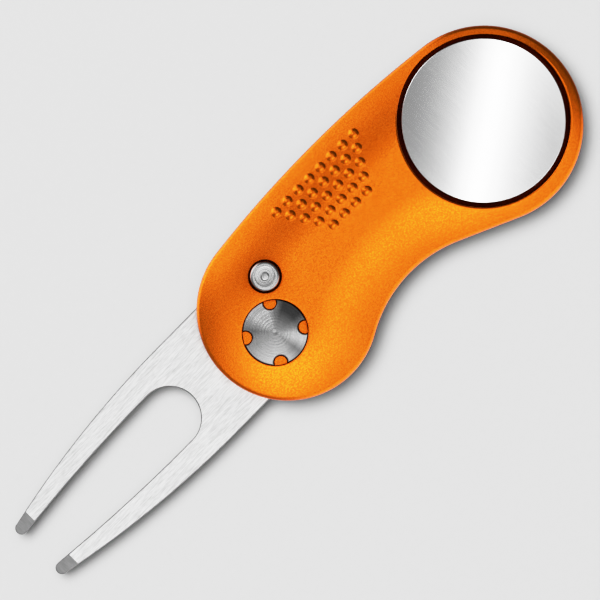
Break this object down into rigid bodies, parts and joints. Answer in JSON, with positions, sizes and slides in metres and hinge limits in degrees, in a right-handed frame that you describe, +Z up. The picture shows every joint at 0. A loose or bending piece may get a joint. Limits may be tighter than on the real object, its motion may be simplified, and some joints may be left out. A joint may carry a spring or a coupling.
{
  "type": "folding divot repair tool",
  "caption": "Golf divot repair tool with a spring-loaded fork that folds into a curved aluminium handle, a release button and a magnetic ball marker.",
  "frame": {"origin": "centre of the underside of the open tool's box: the tool lies on its back with the marker up", "axes": "+X along the tool from the prong tips to the head, +Y towards the long spine edge, +Z up out of the marker's face"},
  "size_m": [0.105, 0.0304, 0.0121],
  "materials": {
    "handle": "bead-blasted, orange anodised",
    "fork_steel": "brushed along its length, ground at the tips",
    "turned_steel": "fine turned rings",
    "fasteners": "bright stainless",
    "washers": "rolled bronze strip",
    "spring_wire": "drawn spring wire",
    "marker": "mirror polished",
    "magnet": "nickel plated"
  },
  "bodies": {
    "handle": {"back_shell": "handle", "front_shell": "handle", "pivot_cap": "turned_steel", "pivot_screw": "fasteners", "back_washer": "washers", "front_washer": "washers", "torsion_spring": "spring_wire", "button_spring": "spring_wire", "magnet": "magnet", "tail_screw": "fasteners", "spine_screw": "fasteners", "head_screw": "fasteners", "spine_dowel": "fasteners", "head_dowel": "fasteners"},
    "fork": {"fork": "fork_steel"},
    "release_button": {"button_cap": "turned_steel", "lock_pin": "turned_steel"},
    "ball_marker": {"ball_marker": "marker"}
  },
  "joints": [
    {"name": "fork_fold", "type": "hinge", "parent": "handle", "child": "fork", "pos_m": [-0.00505, -0.00019, 0.00545], "axis": [0, 0, 1], "range_deg": [0, 190], "stiffness_Nm_per_rad": 0.012, "springref_deg": -68.75, "deforming": ["torsion_spring"]},
    {"name": "button_press", "type": "slide", "parent": "handle", "child": "release_button", "axis": [0, 0, -1], "range_m": [0, 0.002], "stiffness_N_per_m": 800, "springref_m": -0.0015, "deforming": ["button_spring"]},
    {"name": "marker_lift", "type": "slide", "parent": "handle", "child": "ball_marker", "axis": [0, 0, 1], "range_m": [0, 0.02]}
  ]
}
